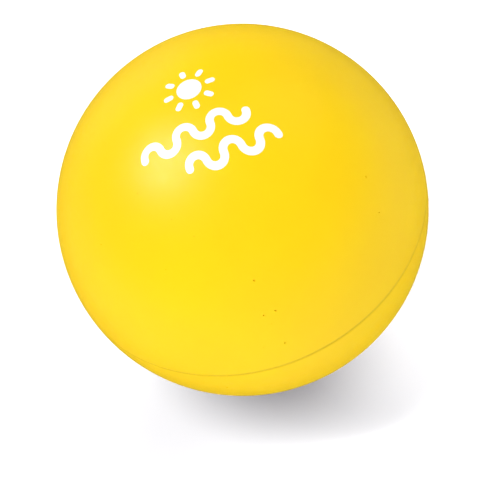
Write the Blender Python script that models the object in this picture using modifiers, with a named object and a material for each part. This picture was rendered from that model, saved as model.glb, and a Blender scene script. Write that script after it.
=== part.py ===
"""Stress ball: one shot of flexible polyurethane foam between two coloured skin halves.

The ball stands on its lower pole. +Z runs up the mould axis, the parting line lies level at
mid-height, and the printed mark is on top, upright for a reader standing on the -Y side.
Metres throughout, with the origin in the middle of the small patch that the ball rests on.

Pieces:
  upper_skin, lower_skin   the skin that each mould half was sprayed with before the pour
  foam_core                the soft cellular foam that fills and bonds to both skins
  parting_flash            the thin trimmed line of foam that crept between the mould halves
  ink_...                  the separate islands of the pad-printed mark, a sun above two waves
"""

import math

import bmesh
import bpy

# Ball
BALL_RADIUS = 0.030
REST_PATCH_RADIUS = 0.004  # the foam flattens this much under the ball's own weight
SKIN_THICKNESS = 0.0012
CORE_GAP = 0.0003

# Parting line
FLASH_HEIGHT = 0.0004
FLASH_DEPTH = 0.0010
FLASH_GAP = 0.00015

# Printed mark: artwork lengths are measured on a plan view of the ball's top
INK_THICKNESS = 0.0002
INK_GAP = 0.00015
SUN_CENTRE = (0.0004, 0.0015)
SUN_RADIUS = 0.0019
RAY_COUNT = 8
RAY_INNER = 0.0030
RAY_OUTER = 0.0036
RAY_WIDTH = 0.0009
WAVE_WIDTH = 0.0012
ARCH_RADIUS = 0.00135  # a wave is half circles, by turns above and below its middle line
WAVES = {  # name: (left end, arches, middle line)
    "upper": (-0.0097, 6, -0.0057),
    "lower": (-0.0043, 5, -0.0105),
}

# Mesh fineness
TURN_STEPS = 48
QUARTER_ARC_STEPS = 12
SUN_STEPS = 32
HALF_CIRCLE_STEPS = 6
MERGE_DISTANCE = 0.00001

# Worked out
CENTRE_HEIGHT = math.sqrt(BALL_RADIUS**2 - REST_PATCH_RADIUS**2)
SKIN_INNER_RADIUS = BALL_RADIUS - SKIN_THICKNESS
CORE_RADIUS = SKIN_INNER_RADIUS - CORE_GAP
RIM_OFFSET = FLASH_HEIGHT / 2 + FLASH_GAP  # from the parting plane to each skin's rim

COLOURS = {  # name: (linear red, green, blue), roughness
    "yellow_skin": ((0.93, 0.62, 0.022), 0.45),
    "pale_foam": ((0.93, 0.72, 0.20), 0.90),
    "white_ink": ((0.92, 0.92, 0.90), 0.50),
}


def clear_scene():
    for obj in list(bpy.data.objects):
        bpy.data.objects.remove(obj, do_unlink=True)


def make_collection(name):
    collection = bpy.data.collections.new(name)
    bpy.context.scene.collection.children.link(collection)
    return collection


def make_materials():
    materials = {}
    for name, (colour, roughness) in COLOURS.items():
        material = bpy.data.materials.new(name)
        material.use_nodes = True
        shader = material.node_tree.nodes["Principled BSDF"]
        shader.inputs["Base Color"].default_value = (*colour, 1.0)
        shader.inputs["Roughness"].default_value = roughness
        shader.inputs["Metallic"].default_value = 0.0
        material.diffuse_color = (*colour, 1.0)
        materials[name] = material
    return materials


def make_frame(collection, name, height):
    """An empty on the mould axis, which a half of the ball hangs from."""
    frame = bpy.data.objects.new(name, None)
    frame.empty_display_size = BALL_RADIUS / 3
    frame.location = (0, 0, height)
    collection.objects.link(frame)
    return frame


def add_piece(collection, name, mesh, material, frame):
    piece = bpy.data.objects.new(name, mesh)
    piece.data.materials.append(material)
    piece.parent = frame
    collection.objects.link(piece)
    return piece


def arc(radius, first, last):
    """Points (outwards, up) on a circle about the ball's centre, at angles up from the parting plane."""
    steps = max(2, round(QUARTER_ARC_STEPS * abs(last - first) / (math.pi / 2)))
    angles = [first + (last - first) * i / steps for i in range(steps + 1)]
    return [(radius * math.cos(a), radius * math.sin(a)) for a in angles]


def turned(collection, name, profile, closed, material, frame):
    """A profile of (outwards, up) points from the frame, turned round the mould axis."""
    bm = bmesh.new()
    points = [bm.verts.new((out, 0, up)) for out, up in profile]
    pairs = zip(points, points[1:] + points[:1])
    for first, second in list(pairs)[: None if closed else -1]:
        bm.edges.new((first, second))
    mesh = bpy.data.meshes.new(name)
    bm.to_mesh(mesh)
    bm.free()
    piece = add_piece(collection, name, mesh, material, frame)
    screw = piece.modifiers.new("turn", "SCREW")
    screw.axis = "Z"
    screw.angle = 2 * math.pi
    screw.steps = TURN_STEPS
    screw.render_steps = TURN_STEPS
    screw.use_merge_vertices = True
    screw.merge_threshold = MERGE_DISTANCE
    screw.use_smooth_shade = True
    return piece


def upper_skin_profile():
    outer_rim = math.asin(RIM_OFFSET / BALL_RADIUS)
    inner_rim = math.asin(RIM_OFFSET / SKIN_INNER_RADIUS)
    outer = [(0, BALL_RADIUS)] + arc(BALL_RADIUS, math.pi / 2, outer_rim)[1:]
    inner = arc(SKIN_INNER_RADIUS, inner_rim, math.pi / 2)[:-1] + [(0, SKIN_INNER_RADIUS)]
    return outer + inner


def flattened_arc(radius, start, floor):
    """From an angle down to the lower pole, cut off level at the height floor."""
    edge = math.asin(floor / radius)
    return arc(radius, start, edge) + [(0, floor)]


def lower_skin_profile():
    outer_rim = math.asin(-RIM_OFFSET / BALL_RADIUS)
    inner_rim = math.asin(-RIM_OFFSET / SKIN_INNER_RADIUS)
    outer = flattened_arc(BALL_RADIUS, outer_rim, -CENTRE_HEIGHT)
    inner = flattened_arc(SKIN_INNER_RADIUS, inner_rim, -CENTRE_HEIGHT + SKIN_THICKNESS)
    return list(reversed(inner)) + outer


def core_profile():
    floor = -CENTRE_HEIGHT + SKIN_THICKNESS + CORE_GAP
    return [(0, CORE_RADIUS)] + flattened_arc(CORE_RADIUS, math.pi / 2, floor)[1:]


def flash_profile():
    half = FLASH_HEIGHT / 2
    outer, inner = BALL_RADIUS, BALL_RADIUS - FLASH_DEPTH
    return [(outer, half), (outer, -half), (inner, -half), (inner, half)]


def around(centre, radius, angles):
    return [(centre[0] + radius * math.cos(a), centre[1] + radius * math.sin(a)) for a in angles]


def stroke_end(centre, radius, first_angle):
    """Points round the end of a stroke, without its two corners."""
    steps = range(1, HALF_CIRCLE_STEPS)
    return around(centre, radius, [first_angle + math.pi * i / HALF_CIRCLE_STEPS for i in steps])


def stroke_outline(line, width):
    """The outline of a round-ended stroke of one width along a line of points."""
    half = width / 2
    headings = []
    for i in range(len(line)):
        before, after = line[max(i - 1, 0)], line[min(i + 1, len(line) - 1)]
        headings.append(math.atan2(after[1] - before[1], after[0] - before[0]))
    right = [(x + half * math.sin(h), y - half * math.cos(h)) for (x, y), h in zip(line, headings)]
    left = [(x - half * math.sin(h), y + half * math.cos(h)) for (x, y), h in zip(line, headings)]
    end_cap = stroke_end(line[-1], half, headings[-1] - math.pi / 2)
    start_cap = stroke_end(line[0], half, headings[0] + math.pi / 2)
    return right + end_cap + left[::-1] + start_cap


def wave_line(left, arches, middle):
    line = [(left, middle)]
    for number in range(arches):
        centre = (left + (2 * number + 1) * ARCH_RADIUS, middle)
        side = 1 if number % 2 == 0 else -1
        steps = range(1, HALF_CIRCLE_STEPS + 1)
        angles = [side * math.pi * (1 - i / HALF_CIRCLE_STEPS) for i in steps]
        line += around(centre, ARCH_RADIUS, angles)
    return line


def ink_island(collection, name, outline, material, frame):
    """A flat outline as thick as the ink, wrapped onto the top of the ball."""
    curve = bpy.data.curves.new(name + "_outline", "CURVE")
    curve.dimensions = "2D"
    curve.fill_mode = "BOTH"
    curve.extrude = INK_THICKNESS / 2
    spline = curve.splines.new("POLY")
    spline.points.add(len(outline) - 1)
    for point, (x, y) in zip(spline.points, outline):
        point.co = (x, y, 0, 1)
    spline.use_cyclic_u = True
    flat = bpy.data.objects.new(name + "_flat", curve)
    collection.objects.link(flat)
    graph = bpy.context.evaluated_depsgraph_get()
    mesh = bpy.data.meshes.new_from_object(flat.evaluated_get(graph))
    bpy.data.objects.remove(flat, do_unlink=True)

    bm = bmesh.new()
    bm.from_mesh(mesh)
    bmesh.ops.remove_doubles(bm, verts=bm.verts, dist=MERGE_DISTANCE)
    ink_middle = BALL_RADIUS + INK_GAP + INK_THICKNESS / 2
    for vert in bm.verts:
        through_ink = vert.co.z
        vert.co.z = math.sqrt(ink_middle**2 - vert.co.x**2 - vert.co.y**2)
        vert.co *= (ink_middle + through_ink) / ink_middle
    bmesh.ops.recalc_face_normals(bm, faces=bm.faces)
    bm.to_mesh(mesh)
    bm.free()
    mesh.name = name
    mesh.materials.clear()
    return add_piece(collection, name, mesh, material, frame)


def sun_disc_outline():
    return around(SUN_CENTRE, SUN_RADIUS, [2 * math.pi * i / SUN_STEPS for i in range(SUN_STEPS)])


def sun_ray_outline(number):
    angle = 2 * math.pi * number / RAY_COUNT
    ends = around(SUN_CENTRE, RAY_INNER, [angle]) + around(SUN_CENTRE, RAY_OUTER, [angle])
    return stroke_outline(ends, RAY_WIDTH)


def build_ball():
    clear_scene()
    ball = make_collection("stress_ball")
    materials = make_materials()
    skin, foam, ink = (materials[n] for n in ("yellow_skin", "pale_foam", "white_ink"))
    lower = make_frame(ball, "lower_half_frame", CENTRE_HEIGHT)
    upper = make_frame(ball, "upper_half_frame", CENTRE_HEIGHT)

    turned(ball, "lower_skin", lower_skin_profile(), False, skin, lower)
    turned(ball, "foam_core", core_profile(), False, foam, lower)
    turned(ball, "parting_flash", flash_profile(), True, skin, lower)
    turned(ball, "upper_skin", upper_skin_profile(), False, skin, upper)

    ink_island(ball, "ink_sun_disc", sun_disc_outline(), ink, upper)
    for number in range(RAY_COUNT):
        ink_island(ball, f"ink_sun_ray_{number + 1}", sun_ray_outline(number), ink, upper)
    for place, wave in WAVES.items():
        outline = stroke_outline(wave_line(*wave), WAVE_WIDTH)
        ink_island(ball, f"ink_wave_{place}", outline, ink, upper)


build_ball()
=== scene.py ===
"""Stress ball: the finished surfaces of a moulded foam ball, on a pale studio floor.

Run as a script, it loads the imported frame, makes each piece over its node and lights the stage.
"""

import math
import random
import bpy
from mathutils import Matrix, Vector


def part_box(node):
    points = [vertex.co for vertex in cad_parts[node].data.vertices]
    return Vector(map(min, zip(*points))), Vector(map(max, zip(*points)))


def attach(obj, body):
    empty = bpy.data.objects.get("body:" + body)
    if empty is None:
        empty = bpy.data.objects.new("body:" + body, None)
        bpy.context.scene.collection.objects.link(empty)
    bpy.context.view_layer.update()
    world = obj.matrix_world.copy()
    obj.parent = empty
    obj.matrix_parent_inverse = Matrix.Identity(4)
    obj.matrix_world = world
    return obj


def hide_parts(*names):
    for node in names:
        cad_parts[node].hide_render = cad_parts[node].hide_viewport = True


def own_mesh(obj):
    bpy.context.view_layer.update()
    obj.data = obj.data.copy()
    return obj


bl_info = {
    "name": "Stress Ball",
    "version": (1, 0, 0),
    "blender": (4, 5, 0),
    "location": "View3D > Sidebar > Stress Ball",
    "description": "Makes a moulded foam stress ball with its parting line and printed mark",
    "category": "Add Mesh",
}

import bmesh
import bpy
from bpy.props import FloatProperty, FloatVectorProperty, IntProperty, PointerProperty
from bpy.types import Operator, Panel, PropertyGroup
from mathutils import Matrix, Vector, noise

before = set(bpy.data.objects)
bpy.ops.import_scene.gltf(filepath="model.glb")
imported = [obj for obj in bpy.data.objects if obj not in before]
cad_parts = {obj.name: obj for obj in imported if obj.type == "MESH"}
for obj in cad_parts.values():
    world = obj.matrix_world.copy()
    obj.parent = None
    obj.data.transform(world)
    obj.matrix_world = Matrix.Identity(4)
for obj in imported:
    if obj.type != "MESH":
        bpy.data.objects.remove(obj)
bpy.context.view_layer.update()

BALL_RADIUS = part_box("parting_flash")[1].x
BALL_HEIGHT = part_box("upper_skin")[1].z
CENTRE = Vector((0, 0, BALL_HEIGHT - BALL_RADIUS))
CORE_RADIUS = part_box("foam_core")[1].x
CORE_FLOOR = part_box("foam_core")[0].z
MILLIMETRE = 0.001
MERGE_DISTANCE = 0.000001
GRID_CUTS = 71  # across each side of the cube that a ball is blown up from
PINHOLE_SPACING = 1.2 * MILLIMETRE  # at least this far from one to the next


# Sizes and colours


class SkinSettings(PropertyGroup):
    thickness: FloatProperty(
        name="Skin thickness",
        description="Depth of the dense coloured rind over the foam",
        default=0.0011,
        unit="LENGTH",
    )
    rim_offset: FloatProperty(
        name="Rim offset",
        description="Distance from the parting plane to each skin's rim",
        default=0.00005,
        unit="LENGTH",
    )
    lip_radius: FloatProperty(
        name="Lip radius",
        description="Rounding of each rim where it dips into the parting line",
        default=0.00005,
        unit="LENGTH",
    )
    unevenness: FloatProperty(
        name="Unevenness",
        description="How far the foam swells and shrinks from a true ball",
        default=0.00002,
        unit="LENGTH",
    )
    pinhole_radius: FloatProperty(
        name="Pinhole radius",
        description="Size of the largest burst bubbles in the skin",
        default=0.00016,
        unit="LENGTH",
    )
    scattered_pinholes: IntProperty(
        name="Scattered pinholes",
        description="Burst bubbles in each half besides the placed ones",
        default=22,
        min=0,
    )
    colour: FloatVectorProperty(
        name="Skin colour",
        description="Colour of the in-mould coat",
        default=(0.90, 0.60, 0.008),
        subtype="COLOR",
        min=0,
        max=1,
    )


class CoreSettings(PropertyGroup):
    cell_size: FloatProperty(
        name="Cell size",
        description="Width of the larger foam cells against the skin",
        default=0.0024,
        unit="LENGTH",
    )
    cell_depth: FloatProperty(
        name="Cell depth",
        description="How deep those cells are",
        default=0.00018,
        unit="LENGTH",
    )
    colour: FloatVectorProperty(
        name="Foam colour",
        description="Colour of the uncoated foam",
        default=(0.93, 0.72, 0.20),
        subtype="COLOR",
        min=0,
        max=1,
    )


class FlashSettings(PropertyGroup):
    height: FloatProperty(
        name="Flash height",
        description="Thickness of the foam between the mould halves, less than the gap it lies in",
        default=0.00009,
        unit="LENGTH",
    )
    recess: FloatProperty(
        name="Flash recess",
        description="How far below the skin the trimmed edge lies",
        default=0.00002,
        unit="LENGTH",
    )
    colour: FloatVectorProperty(
        name="Flash colour",
        description="Colour of the trimmed edge",
        default=(0.78, 0.50, 0.008),
        subtype="COLOR",
        min=0,
        max=1,
    )


class InkSettings(PropertyGroup):
    thickness: FloatProperty(
        name="Ink thickness",
        description="How far the dried ink stands proud of the skin",
        default=0.00003,
        unit="LENGTH",
    )
    stroke_width: FloatProperty(
        name="Stroke width",
        description="Width of the waves",
        default=0.0012,
        unit="LENGTH",
    )
    colour: FloatVectorProperty(
        name="Ink colour",
        description="Colour of the printed mark",
        default=(0.93, 0.93, 0.91),
        subtype="COLOR",
        min=0,
        max=1,
    )


class StageSettings(PropertyGroup):
    camera_distance: FloatProperty(
        name="Camera distance",
        description="From the camera to the middle of the ball",
        default=0.225,
        unit="LENGTH",
    )
    camera_elevation: FloatProperty(
        name="Camera elevation",
        description="Angle of the view above the parting plane",
        default=math.radians(52.84),
        subtype="ANGLE",
    )
    camera_roll: FloatProperty(
        name="Camera roll",
        description="Clockwise turn of the camera about its view",
        default=math.radians(25.04),
        subtype="ANGLE",
    )
    camera_drop: FloatProperty(
        name="Aim below the middle",
        description="How far below the middle of the ball the camera aims",
        default=0.00484,
        unit="LENGTH",
    )
    camera_left: FloatProperty(
        name="Aim left of the middle",
        description="How far to the left of the middle of the ball the camera aims",
        default=0.0004,
        unit="LENGTH",
    )
    camera_lens: FloatProperty(
        name="Camera lens",
        description="Focal length on a 36 mm sensor, in millimetres",
        default=103.8,
    )
    floor_colour: FloatVectorProperty(
        name="Floor colour",
        description="Colour of the plain floor, dim so that the ball hardly tints its shadow",
        default=(0.12, 0.12, 0.12),
        subtype="COLOR",
        min=0,
        max=1,
    )
    floor_glow: FloatVectorProperty(
        name="Floor glow",
        description="Light that comes up through the floor, which is left in the shadow",
        default=(0.078, 0.08, 0.12),
        subtype="COLOR",
        min=0,
        max=1,
    )
    wide_power: FloatProperty(
        name="Wide floor light",
        description="Power of the wide low light that gives the floor half of its soft shadow, in watts",
        default=1854,
    )
    narrow_power: FloatProperty(
        name="Narrow floor light",
        description="Power of the tall narrow light that gives the rest of the shadow, in watts",
        default=504,
    )
    left_power: FloatProperty(
        name="Left light",
        description="Power of the broad soft light high on the left, in watts",
        default=6.6,
    )
    right_power: FloatProperty(
        name="Right light",
        description="Power of the broad soft light half up on the right, in watts",
        default=3.95,
    )
    front_power: FloatProperty(
        name="Front light",
        description="Power of the broad soft light level with the ball on the reader's side, in watts",
        default=3.2,
    )
    back_power: FloatProperty(
        name="Back light",
        description="Power of the broad soft light level with the ball behind it, in watts",
        default=4.2,
    )
    sheen_power: FloatProperty(
        name="Sheen light",
        description="Power of the small softbox that shows only in the satin sheen, in watts",
        default=14,
    )
    surround: FloatProperty(
        name="Surround light",
        description="Strength of the even light from all around",
        default=0.03,
    )


class StressBallSettings(PropertyGroup):
    skin: PointerProperty(type=SkinSettings)
    core: PointerProperty(type=CoreSettings)
    flash: PointerProperty(type=FlashSettings)
    ink: PointerProperty(type=InkSettings)
    stage: PointerProperty(type=StageSettings)


# Placed pinholes on the skins: (degrees round from +X, degrees up from the parting line)
UPPER_PINHOLES = [(-97, 22), (-94, 23), (-96, 34), (-95, 10), (-43, 34), (-49, 24)]
LOWER_PINHOLES = [(-118, -9), (-48, -12), (150, -20)]


# Shared mesh and material steps


def shared_collection(name):
    """The collection of that name, made the first time that it is asked for."""
    if name not in bpy.data.collections:
        bpy.context.scene.collection.children.link(bpy.data.collections.new(name))
    return bpy.data.collections[name]


def finish_piece(name, bm, material, body, nodes):
    """Makes an object of the mesh, over its nodes, on its half of the ball."""
    mesh = bpy.data.meshes.new(name)
    bm.to_mesh(mesh)
    bm.free()
    mesh.shade_smooth()
    mesh.set_sharp_from_angle(angle=math.radians(50))
    mesh.materials.append(material)
    piece = bpy.data.objects.new(name, mesh)
    shared_collection("stress_ball").objects.link(piece)
    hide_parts(*nodes)
    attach(piece, body)
    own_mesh(piece)
    return piece


def new_material(name):
    material = bpy.data.materials.new(name)
    material.use_nodes = True
    return material, material.node_tree, material.node_tree.nodes["Principled BSDF"]


def add_node(tree, kind, **values):
    """A node of that kind. Names that aren't the node's own settings are its inputs."""
    node = tree.nodes.new("ShaderNode" + kind)
    for name, value in values.items():
        if hasattr(node, name):
            setattr(node, name, value)
        else:
            node.inputs[name.replace("_", " ").title()].default_value = value
    return node


def noise_pattern(tree, position, feature_size, detail=2.0):
    pattern = add_node(tree, "TexNoise", scale=1 / feature_size, detail=detail)
    tree.links.new(position, pattern.inputs["Vector"])
    return pattern.outputs["Fac"]


def ramp_value(tree, value, low, high, to_low=0.0, to_high=1.0):
    """The value taken from between low and high to between to_low and to_high."""
    ramp = add_node(tree, "MapRange", interpolation_type="SMOOTHSTEP")
    for name, number in zip(("From Min", "From Max", "To Min", "To Max"), (low, high, to_low, to_high)):
        ramp.inputs[name].default_value = number
    tree.links.new(value, ramp.inputs["Value"])
    return ramp.outputs["Result"]


def mix_colour(tree, amount, first, second):
    """Each colour is a socket or three numbers."""
    mixed = add_node(tree, "Mix", data_type="RGBA")
    tree.links.new(amount, mixed.inputs["Factor"])
    for socket, colour in zip((mixed.inputs[6], mixed.inputs[7]), (first, second)):
        if isinstance(colour, bpy.types.NodeSocket):
            tree.links.new(colour, socket)
        else:
            socket.default_value = (*colour, 1.0)
    return mixed.outputs[2]


def add_bump(tree, height, depth, normal=None):
    """Bump of that depth in metres, on top of another bump's normal."""
    bump = add_node(tree, "Bump", distance=depth, strength=1.0)
    tree.links.new(height, bump.inputs["Height"])
    if normal is not None:
        tree.links.new(normal, bump.inputs["Normal"])
    return bump.outputs["Normal"]


def shade(colour, amount):
    return tuple(channel * amount for channel in colour)


# Skins


def ball_grid(radius, cuts):
    """A cube cut into a fine grid and blown up to a ball, so that it has no poles."""
    bm = bmesh.new()
    bmesh.ops.create_cube(bm, size=2.0)
    bmesh.ops.subdivide_edges(bm, edges=bm.edges[:], cuts=cuts, use_grid_fill=True)
    for vert in bm.verts:
        even = Vector(math.tan(part * math.pi / 4) for part in vert.co)
        vert.co = even.normalized() * radius
    return bm


def half_ball(settings, side):
    """The open half of the grid above (side 1) or below (side -1) the parting plane."""
    bm = ball_grid(BALL_RADIUS, GRID_CUTS)
    bmesh.ops.bisect_plane(
        bm,
        geom=bm.verts[:] + bm.edges[:] + bm.faces[:],
        dist=MERGE_DISTANCE,
        plane_co=(0, 0, 0),
        plane_no=(0, 0, side),
        clear_inner=True,
    )
    for vert in bm.verts:
        if vert.is_boundary:
            vert.co.z = side * settings.rim_offset
    return bm


def swell(bm, amount):
    """Slow swells in the foam, which fade out towards the parting line so that the rims meet."""
    for vert in bm.verts:
        fade = min(1.0, abs(vert.co.z) / (BALL_RADIUS / 6))
        vert.co *= 1 + fade * amount / BALL_RADIUS * noise.noise(vert.co / (BALL_RADIUS / 3))


def flatten_below(bm, height):
    """Presses what is below a height up to it, with a soft edge, as the ball sits on a surface."""
    softness = 0.04 * MILLIMETRE
    for vert in bm.verts:
        above = vert.co.z - height
        if above < softness * 4:
            vert.co.z = height + softness * math.log1p(math.exp(above / softness))


def pinhole_spots(bm, placed, count, seed):
    """Vertices for the placed pinholes and for a scatter of others, none next to another."""
    chance = random.Random(seed)
    directions = [(math.radians(turn), math.radians(up)) for turn, up in placed]
    side = 1 if placed[0][1] > 0 else -1
    for _ in range(count):
        up = math.asin(chance.uniform(0.08, 0.97))
        directions.append((chance.uniform(-math.pi, math.pi), side * up))
    spots = []
    for turn, up in directions:
        wanted = BALL_RADIUS * Vector(
            (math.cos(up) * math.cos(turn), math.cos(up) * math.sin(turn), math.sin(up))
        )
        nearest = min(bm.verts, key=lambda vert: (vert.co - wanted).length_squared)
        if all((nearest.co - spot.co).length > PINHOLE_SPACING for spot in spots):
            spots.append(nearest)
    return spots


def pierce(bm, spots, full_size, radius):
    """Turns each vertex into a small round pit. After the full-size ones they are smaller."""
    chance = random.Random(11)
    for number, spot in enumerate(spots):
        centre = spot.co.copy()
        size = radius * (1.0 if number < full_size else chance.uniform(0.3, 0.65))
        # This profile bows the four cut corners out into a circle.
        rim = bmesh.ops.bevel(
            bm,
            geom=[spot],
            offset=size,
            offset_type="OFFSET",
            segments=3,
            profile=0.086,
            affect="VERTICES",
            material=-1,
        )
        walls = bmesh.ops.extrude_face_region(bm, geom=rim["faces"])
        bottom = [item for item in walls["geom"] if isinstance(item, bmesh.types.BMVert)]
        bmesh.ops.delete(bm, geom=[face for face in rim["faces"] if face.is_valid], context="FACES_ONLY")
        bmesh.ops.scale(bm, vec=(0.55,) * 3, verts=bottom, space=Matrix.Translation(-centre))
        bmesh.ops.translate(bm, vec=-centre.normalized() * size * 1.3, verts=bottom)


def thicken(bm, settings):
    """Gives the skin its inner wall and rim, and rounds the outer lip of the rim."""
    outer = bm.faces[:]
    rim = [edge for edge in bm.edges if edge.is_boundary]
    inner = bmesh.ops.extrude_face_region(bm, geom=outer, use_keep_orig=True)
    shrink = 1 - settings.thickness / BALL_RADIUS
    for item in inner["geom"]:
        if isinstance(item, bmesh.types.BMVert):
            flat = abs(item.co.z) < settings.rim_offset * 1.5
            upright = 1 if flat else shrink
            item.co = Vector((item.co.x * shrink, item.co.y * shrink, item.co.z * upright))
    bmesh.ops.recalc_face_normals(bm, faces=bm.faces[:])
    bmesh.ops.bevel(
        bm,
        geom=rim,
        offset=settings.lip_radius,
        offset_type="OFFSET",
        segments=5,
        profile=0.5,
        affect="EDGES",
        material=-1,
    )


def make_skin(settings, side, placed, seed):
    bm = half_ball(settings, side)
    swell(bm, settings.unevenness)
    spots = pinhole_spots(bm, placed, settings.scattered_pinholes, seed)
    thicken(bm, settings)
    pierce(bm, [spot for spot in spots if spot.is_valid], len(placed), settings.pinhole_radius)
    bmesh.ops.recalc_face_normals(bm, faces=bm.faces[:])
    bmesh.ops.translate(bm, vec=CENTRE, verts=bm.verts[:])
    if side < 0:
        flatten_below(bm, 0)
    return bm


def skin_material(settings):
    """Satin coat: faint mottling, orange peel, a few dark specks of painted shade for tiny pits, and a
    band of painted shade along the parting line.
    """
    material, tree, shader = new_material("satin_yellow_coat")
    colour = tuple(settings.colour)
    position = add_node(tree, "TexCoord").outputs["Object"]
    mottle = ramp_value(tree, noise_pattern(tree, position, 0.014, 3), 0.3, 0.7)
    coat = mix_colour(tree, mottle, colour, (colour[0] * 0.985, colour[1] * 0.965, colour[2] * 0.95))

    # Painted shade: a few small dark specks stand in for the shade inside tiny pits of the skin.
    pit_shade_specks = add_node(tree, "TexVoronoi", scale=1 / 0.0035)
    tree.links.new(position, pit_shade_specks.inputs["Vector"])
    close = ramp_value(tree, pit_shade_specks.outputs["Distance"], 0.016, 0.04, 1.0, 0.0)
    picked = ramp_value(tree, pit_shade_specks.outputs["Color"], 0.62, 0.64)
    pit_shade_speck = add_node(tree, "Math", operation="MULTIPLY")
    tree.links.new(close, pit_shade_speck.inputs[0])
    tree.links.new(picked, pit_shade_speck.inputs[1])
    coat = mix_colour(tree, pit_shade_speck.outputs[0], coat, shade(colour, 0.55))

    # Painted shade: the coat is darkened in a narrow band each side of the parting line, standing in for
    # the shade of the groove there.
    apart = add_node(tree, "SeparateXYZ")
    tree.links.new(position, apart.inputs["Vector"])
    level = add_node(tree, "Math", operation="SUBTRACT")
    tree.links.new(apart.outputs["Z"], level.inputs[0])
    level.inputs[1].default_value = CENTRE.z
    distance = add_node(tree, "Math", operation="ABSOLUTE")
    tree.links.new(level.outputs[0], distance.inputs[0])
    seam_shade_band = ramp_value(tree, distance.outputs[0], 0.00018, 0.00046, 0.42, 0.0)
    coat = mix_colour(tree, seam_shade_band, coat, shade(colour, 0.7))
    tree.links.new(coat, shader.inputs["Base Color"])

    fine = noise_pattern(tree, position, 0.0011, 3)
    tree.links.new(ramp_value(tree, fine, 0.2, 0.8, 0.34, 0.42), shader.inputs["Roughness"])
    peel = add_bump(tree, noise_pattern(tree, position, 0.0009, 1), 0.000012)
    grain = add_bump(tree, noise_pattern(tree, position, 0.00016, 2), 0.000003, peel)
    tree.links.new(grain, shader.inputs["Normal"])
    shader.inputs["IOR"].default_value = 1.45
    shader.inputs["Specular IOR Level"].default_value = 0.12
    shader.inputs["Subsurface Weight"].default_value = 0.06
    shader.inputs["Subsurface Radius"].default_value = (1.0, 0.45, 0.1)
    shader.inputs["Subsurface Scale"].default_value = 0.0012
    return material


class MESH_OT_stress_ball_skins(Operator):
    """Makes the upper and the lower moulded skin"""

    bl_idname = "mesh.stress_ball_skins"
    bl_label = "Moulded Skins"

    def execute(self, context):
        settings = context.scene.stress_ball.skin
        coat = skin_material(settings)
        upper = make_skin(settings, 1, UPPER_PINHOLES, 3)
        finish_piece("moulded_upper_skin", upper, coat, "upper_half", ["upper_skin"])
        lower = make_skin(settings, -1, LOWER_PINHOLES, 4)
        finish_piece("moulded_lower_skin", lower, coat, "lower_half", ["lower_skin"])
        return {"FINISHED"}


# Foam core


def make_core(settings):
    """A ball of foam with the broken cells of its surface sunk into it."""
    bm = bmesh.new()
    bmesh.ops.create_icosphere(bm, subdivisions=7, radius=CORE_RADIUS)
    for vert in bm.verts:
        nearest, second = noise.voronoi(vert.co / settings.cell_size)[0][:2]
        wall = min(1.0, (second - nearest) * 2.5)
        vert.co *= 1 - settings.cell_depth * wall / CORE_RADIUS
    bmesh.ops.smooth_vert(
        bm, verts=bm.verts[:], factor=0.3, use_axis_x=True, use_axis_y=True, use_axis_z=True
    )
    bmesh.ops.translate(bm, vec=CENTRE, verts=bm.verts[:])
    flatten_below(bm, CORE_FLOOR)
    return bm


def core_material(settings):
    """Bare open-cell foam: pale cell walls round pits darkened with painted shade."""
    material, tree, shader = new_material("open_cell_foam")
    colour = tuple(settings.colour)
    position = add_node(tree, "TexCoord").outputs["Object"]
    cells = add_node(tree, "TexVoronoi", feature="DISTANCE_TO_EDGE", scale=1 / 0.0007)
    tree.links.new(position, cells.inputs["Vector"])
    pit = ramp_value(tree, cells.outputs["Distance"], 0.05, 0.3)
    tone = mix_colour(tree, noise_pattern(tree, position, 0.009, 3), colour, shade(colour, 0.86))
    # Painted shade: the middle of each cell, where the pit is sunk, is darkened.
    tree.links.new(mix_colour(tree, pit, tone, shade(colour, 0.6)), shader.inputs["Base Color"])
    tree.links.new(ramp_value(tree, pit, 0, 1, 0.8, 0.95), shader.inputs["Roughness"])
    sunk = ramp_value(tree, cells.outputs["Distance"], 0.05, 0.3, 1.0, 0.0)
    tree.links.new(add_bump(tree, sunk, 0.00015), shader.inputs["Normal"])
    return material


class MESH_OT_stress_ball_core(Operator):
    """Makes the foam core inside the skins"""

    bl_idname = "mesh.stress_ball_core"
    bl_label = "Foam Core"

    def execute(self, context):
        settings = context.scene.stress_ball.core
        foam = core_material(settings)
        core = make_core(settings)
        piece = finish_piece("cellular_foam_core", core, foam, "lower_half", ["foam_core"])
        return {"FINISHED"}


# Parting flash


def make_flash(settings):
    """A thin ring between the skins, whose outer edge was trimmed by hand."""
    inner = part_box("parting_flash")[1].x - 0.9 * MILLIMETRE
    outer = BALL_RADIUS - settings.recess
    bm = bmesh.new()
    bmesh.ops.create_grid(bm, x_segments=1, y_segments=1, size=0.5)
    bmesh.ops.rotate(bm, matrix=Matrix.Rotation(math.radians(90), 3, "X"), verts=bm.verts[:])
    bmesh.ops.scale(bm, vec=(outer - inner, 1, settings.height), verts=bm.verts[:])
    bmesh.ops.translate(bm, vec=((outer + inner) / 2, 0, 0), verts=bm.verts[:])
    corners = [vert for vert in bm.verts if vert.co.x > (outer + inner) / 2]
    bmesh.ops.bevel(
        bm,
        geom=corners,
        offset=settings.height * 0.45,
        offset_type="OFFSET",
        segments=4,
        profile=0.5,
        affect="VERTICES",
        material=-1,
    )
    bmesh.ops.delete(bm, geom=bm.faces[:], context="FACES_ONLY")
    section = bm.verts[:] + bm.edges[:]
    bmesh.ops.spin(
        bm, geom=section, axis=(0, 0, 1), cent=(0, 0, 0), angle=2 * math.pi, steps=720, use_merge=True
    )
    for vert in bm.verts:
        if vert.co.xy.length > (outer + inner) / 2:
            vert.co.xy *= 1 + 0.03 * MILLIMETRE / outer * noise.noise(vert.co * 900)
    bmesh.ops.recalc_face_normals(bm, faces=bm.faces[:])
    bmesh.ops.translate(bm, vec=CENTRE, verts=bm.verts[:])
    return bm


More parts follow.
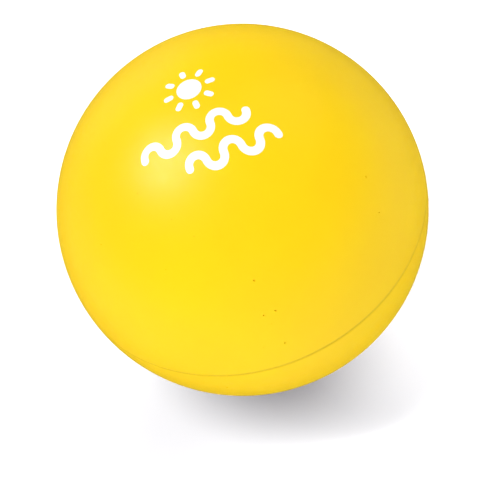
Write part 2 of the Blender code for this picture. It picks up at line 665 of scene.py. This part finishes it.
def flash_material(settings):
    """Cut foam: matt, with short strokes of the trimming blade along it."""
    material, tree, shader = new_material("trimmed_foam_edge")
    colour = tuple(settings.colour)
    position = add_node(tree, "TexCoord").outputs["Object"]
    strokes = noise_pattern(tree, position, 0.0006, 4)
    tone = mix_colour(tree, ramp_value(tree, strokes, 0.3, 0.7), colour, shade(colour, 0.75))
    tree.links.new(tone, shader.inputs["Base Color"])
    tree.links.new(ramp_value(tree, strokes, 0.3, 0.7, 0.6, 0.8), shader.inputs["Roughness"])
    tree.links.new(add_bump(tree, strokes, 0.00002), shader.inputs["Normal"])
    return material


class MESH_OT_stress_ball_flash(Operator):
    """Makes the trimmed flash in the parting line"""

    bl_idname = "mesh.stress_ball_flash"
    bl_label = "Parting Flash"

    def execute(self, context):
        settings = context.scene.stress_ball.flash
        edge = flash_material(settings)
        ring = make_flash(settings)
        finish_piece("trimmed_parting_flash", ring, edge, "lower_half", ["parting_flash"])
        return {"FINISHED"}


# Printed mark: each island is laid out flat, then wrapped onto the ball

STROKE_CUTS = 6  # across a stroke, an even number
ROUND_STEPS = 20  # along a half turn


def flat_middle(node):
    """The middle of an island on the plan view of the ball."""
    low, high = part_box(node)
    return ((low + high) / 2).xy.to_3d()


def flat_size(node):
    low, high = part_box(node)
    return (high - low).xy


def cross_line(bm, start, end, pieces):
    """A straight line cut into equal pieces, for a sweep to start from."""
    edge = bm.edges.new((bm.verts.new(start), bm.verts.new(end)))
    cut = bmesh.ops.subdivide_edges(bm, edges=[edge], cuts=pieces - 1)
    edges = {item for item in cut["geom_split"] + [edge] if isinstance(item, bmesh.types.BMEdge)}
    return list(edges)


def sweep_round(bm, edges, centre, angle, steps=ROUND_STEPS):
    """Turns the line about a centre, and returns where it ends."""
    verts = list({vert for edge in edges for vert in edge.verts})
    swept = bmesh.ops.spin(
        bm, geom=verts + edges, axis=(0, 0, 1), cent=centre, angle=angle, steps=steps
    )
    return [item for item in swept["geom_last"] if isinstance(item, bmesh.types.BMEdge)]


def round_end(bm, middle, rim, angle):
    """Half a disc from the middle of a stroke's end, starting at one side of the stroke."""
    sweep_round(bm, cross_line(bm, middle, rim, STROKE_CUTS // 2), middle, angle)


def sun_disc(bm):
    centre = flat_middle("ink_sun_disc")
    rim = centre + Vector((flat_size("ink_sun_disc").x / 2, 0, 0))
    sweep_round(bm, cross_line(bm, centre, rim, STROKE_CUTS), centre, 2 * math.pi, 3 * ROUND_STEPS)


def sun_ray(bm, node):
    """A short round-ended stroke that points away from the sun's middle."""
    middle = flat_middle(node)
    outwards = (middle - flat_middle("ink_sun_disc")).normalized()
    across = outwards.cross(Vector((0, 0, 1))) * flat_size("ink_sun_ray_3").x / 2
    straight = flat_size("ink_sun_ray_1").x - flat_size("ink_sun_ray_3").x
    inner, outer = middle - outwards * straight / 2, middle + outwards * straight / 2
    line = cross_line(bm, inner - across, inner + across, STROKE_CUTS)
    drawn = bmesh.ops.extrude_edge_only(bm, edges=line)
    end = [item for item in drawn["geom"] if isinstance(item, bmesh.types.BMVert)]
    bmesh.ops.translate(bm, vec=outer - inner, verts=end)
    round_end(bm, inner, inner - across, math.pi)
    round_end(bm, outer, outer + across, math.pi)


def wave(bm, node, width):
    """Half circles by turns above and below a level line, with round ends."""
    size = flat_size(node)
    arch = (size.y - width) / 2
    arches = round((size.x - width) / (2 * arch))
    arch = (size.x - width) / (2 * arches)
    half = Vector((width / 2, 0, 0))
    left = flat_middle(node) - Vector((arch * arches, 0, 0))
    line = cross_line(bm, left - half, left + half, STROKE_CUTS)
    round_end(bm, left, left - half, math.pi)
    side = 1
    for number in range(arches):
        centre = left + Vector(((2 * number + 1) * arch, 0, 0))
        side = 1 if number % 2 == 0 else -1
        line = sweep_round(bm, line, centre, -side * math.pi)
    right = left + Vector((2 * arch * arches, 0, 0))
    round_end(bm, right, right + half, -side * math.pi)


def wrap_ink(bm, thickness):
    """Lifts the flat island onto the ball as a thin film with soft edges."""
    bmesh.ops.remove_doubles(bm, verts=bm.verts[:], dist=MERGE_DISTANCE)
    base, top = BALL_RADIUS - thickness / 2, BALL_RADIUS + thickness
    for vert in bm.verts:
        vert.co.z = math.sqrt(BALL_RADIUS**2 - vert.co.xy.length_squared)
        vert.co = vert.co.normalized() * base
    raised = bmesh.ops.extrude_face_region(bm, geom=bm.faces[:], use_keep_orig=True)
    for item in raised["geom"]:
        if isinstance(item, bmesh.types.BMVert):
            item.co = item.co.normalized() * top
    bmesh.ops.recalc_face_normals(bm, faces=bm.faces[:])
    middle = (base + top) / 2
    shoulder = [
        edge
        for edge in bm.edges
        if all(vert.co.length > middle for vert in edge.verts) and edge.calc_face_angle(0) > 1
    ]
    bmesh.ops.bevel(
        bm,
        geom=shoulder,
        offset=thickness * 0.7,
        offset_type="OFFSET",
        segments=3,
        profile=0.5,
        affect="EDGES",
        material=-1,
    )
    bmesh.ops.translate(bm, vec=CENTRE, verts=bm.verts[:])


def ink_material(settings, skin_colour):
    """Dried pad-print ink: white, with the coat just showing where it lies thin."""
    material, tree, shader = new_material("white_pad_ink")
    colour = tuple(settings.colour)
    position = add_node(tree, "TexCoord").outputs["Object"]
    thin = ramp_value(tree, noise_pattern(tree, position, 0.0007, 3), 0.62, 0.85, 0.0, 0.35)
    tree.links.new(mix_colour(tree, thin, colour, tuple(skin_colour)), shader.inputs["Base Color"])
    tooth = noise_pattern(tree, position, 0.0004, 2)
    tree.links.new(ramp_value(tree, tooth, 0.2, 0.8, 0.45, 0.6), shader.inputs["Roughness"])
    tree.links.new(add_bump(tree, tooth, 0.000006), shader.inputs["Normal"])
    return material


class MESH_OT_stress_ball_ink(Operator):
    """Makes the printed sun and waves on the upper skin"""

    bl_idname = "mesh.stress_ball_ink"
    bl_label = "Printed Mark"

    def execute(self, context):
        settings = context.scene.stress_ball.ink
        white = ink_material(settings, context.scene.stress_ball.skin.colour)
        for node in sorted(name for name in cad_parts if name.startswith("ink_")):
            bm = bmesh.new()
            if node == "ink_sun_disc":
                sun_disc(bm)
            elif node.startswith("ink_sun_ray"):
                sun_ray(bm, node)
            else:
                wave(bm, node, settings.stroke_width)
            wrap_ink(bm, settings.thickness)
            name = node.replace("ink_", "printed_")
            finish_piece(name, bm, white, "upper_half", [node])
        return {"FINISHED"}


# Stage

NEAR, FAR = 0.8, 2.4  # from the ball to its own lights and to the floor's


def add_floor(settings):
    """A plain floor that glows a little, so that its shadow stays pale. The ball's gloss skips it."""
    material, _, shader = new_material("plain_floor")
    shader.inputs["Base Color"].default_value = (*settings.floor_colour, 1.0)
    shader.inputs["Roughness"].default_value = 0.9
    shader.inputs["Specular IOR Level"].default_value = 0.0
    shader.inputs["Emission Color"].default_value = (*settings.floor_glow, 1.0)
    shader.inputs["Emission Strength"].default_value = 1.0
    bm = bmesh.new()
    bmesh.ops.create_grid(bm, x_segments=1, y_segments=1, size=1.0)
    bmesh.ops.translate(bm, vec=(0, 0, -0.02 * MILLIMETRE), verts=bm.verts[:])
    mesh = bpy.data.meshes.new("floor")
    bm.to_mesh(mesh)
    bm.free()
    mesh.materials.append(material)
    floor = bpy.data.objects.new("floor", mesh)
    floor.visible_glossy = False
    shared_collection("stage").objects.link(floor)


def add_softbox(name, turn, up, size, power, lights_up="stress_ball", sheen=False):
    """An oval soft light at a turn round from +X and a height above level, on one collection alone."""
    distance = FAR if lights_up == "stage" else NEAR
    light = bpy.data.lights.new(name, "AREA")
    light.shape = "ELLIPSE"
    light.size, light.size_y = size
    light.energy = power
    lamp = bpy.data.objects.new(name, light)
    turn, up = math.radians(turn), math.radians(up)
    towards = Vector((math.cos(up) * math.cos(turn), math.cos(up) * math.sin(turn), math.sin(up)))
    lamp.location = CENTRE + towards * distance
    lamp.rotation_euler = towards.to_track_quat("Z", "Y").to_euler()
    lamp.visible_camera = False
    lamp.visible_glossy = sheen
    lamp.visible_diffuse = not sheen
    lamp.light_linking.receiver_collection = shared_collection(lights_up)
    shared_collection("stage").objects.link(lamp)


def add_surround(strength):
    """Even light from all around. The background itself shows as plain white."""
    world = bpy.data.worlds.new("surround")
    bpy.context.scene.world = world
    world.use_nodes = True
    nodes, links = world.node_tree.nodes, world.node_tree.links
    seen, around = nodes.new("ShaderNodeLightPath"), nodes.new("ShaderNodeMapRange")
    around.inputs["To Min"].default_value = strength
    around.inputs["To Max"].default_value = 1.0
    links.new(seen.outputs["Is Camera Ray"], around.inputs["Value"])
    links.new(around.outputs["Result"], nodes["Background"].inputs["Strength"])
    nodes["Background"].inputs["Color"].default_value = (1.0, 1.0, 1.0, 1.0)
    world.cycles_visibility.glossy = False


def add_camera(settings):
    """Looks down at the mark, rolled so that the mark runs uphill to the right."""
    back = Vector((0, -math.cos(settings.camera_elevation), math.sin(settings.camera_elevation)))
    level_right = Vector((1, 0, 0))
    level_up = back.cross(level_right)
    roll = settings.camera_roll
    right = level_right * math.cos(roll) - level_up * math.sin(roll)
    up = back.cross(right)
    place = CENTRE + back * settings.camera_distance
    aim = CENTRE - up * settings.camera_drop - right * settings.camera_left
    away = (place - aim).normalized()
    level = up.cross(away).normalized()
    turned = Matrix((level, away.cross(level), away)).transposed()
    data = bpy.data.cameras.new("camera")
    data.sensor_width = 36
    data.lens = settings.camera_lens
    data.clip_start = 0.01
    camera = bpy.data.objects.new("camera", data)
    camera.matrix_world = Matrix.Translation(place) @ turned.to_4x4()
    shared_collection("stage").objects.link(camera)
    bpy.context.scene.camera = camera


class SCENE_OT_stress_ball_stage(Operator):
    """Makes the floor, the lights and the camera"""

    bl_idname = "scene.stress_ball_stage"
    bl_label = "Studio Stage"

    def execute(self, context):
        settings = context.scene.stress_ball.stage
        context.scene.view_settings.view_transform = "Standard"
        add_floor(settings)
        add_softbox("wide_floor_light", 26, 23, (6.15, 1.65), settings.wide_power, lights_up="stage")
        add_softbox("narrow_floor_light", 163, 58, (0.25, 2.77), settings.narrow_power, lights_up="stage")
        add_softbox("left_light", 200, 60, (0.65, 0.65), settings.left_power)
        add_softbox("right_light", 20, 40, (0.65, 0.65), settings.right_power)
        add_softbox("front_light", 260, 0, (0.65, 0.65), settings.front_power)
        add_softbox("back_light", 106, 0, (0.65, 0.65), settings.back_power)
        add_softbox("sheen_light", 156, 62, (0.45, 0.45), settings.sheen_power, sheen=True)
        add_surround(settings.surround)
        add_camera(settings)
        return {"FINISHED"}


# Panel and registration


class VIEW3D_PT_stress_ball(Panel):
    """Lists the sizes and colours of the ball and the steps that make it"""

    bl_idname = "VIEW3D_PT_stress_ball"
    bl_label = "Stress Ball"
    bl_space_type = "VIEW_3D"
    bl_region_type = "UI"
    bl_category = "Stress Ball"

    def draw(self, context):
        groups = context.scene.stress_ball
        for name, operator in STEPS:
            box = self.layout.box()
            box.operator(operator)
            settings = getattr(groups, name)
            for value in settings.bl_rna.properties:
                if value.identifier not in ("rna_type", "name"):
                    box.prop(settings, value.identifier)


STEPS = [
    ("stage", "scene.stress_ball_stage"),
    ("core", "mesh.stress_ball_core"),
    ("flash", "mesh.stress_ball_flash"),
    ("skin", "mesh.stress_ball_skins"),
    ("ink", "mesh.stress_ball_ink"),
]
CLASSES = [
    SkinSettings,
    CoreSettings,
    FlashSettings,
    InkSettings,
    StageSettings,
    StressBallSettings,
    MESH_OT_stress_ball_skins,
    MESH_OT_stress_ball_core,
    MESH_OT_stress_ball_flash,
    MESH_OT_stress_ball_ink,
    SCENE_OT_stress_ball_stage,
    VIEW3D_PT_stress_ball,
]


def register():
    for cls in CLASSES:
        bpy.utils.register_class(cls)
    bpy.types.Scene.stress_ball = PointerProperty(type=StressBallSettings)


def unregister():
    del bpy.types.Scene.stress_ball
    for cls in reversed(CLASSES):
        bpy.utils.unregister_class(cls)


def main():
    register()
    bpy.ops.scene.stress_ball_stage()
    bpy.ops.mesh.stress_ball_core()
    bpy.ops.mesh.stress_ball_flash()
    bpy.ops.mesh.stress_ball_skins()
    bpy.ops.mesh.stress_ball_ink()


if __name__ == "__main__":
    main()
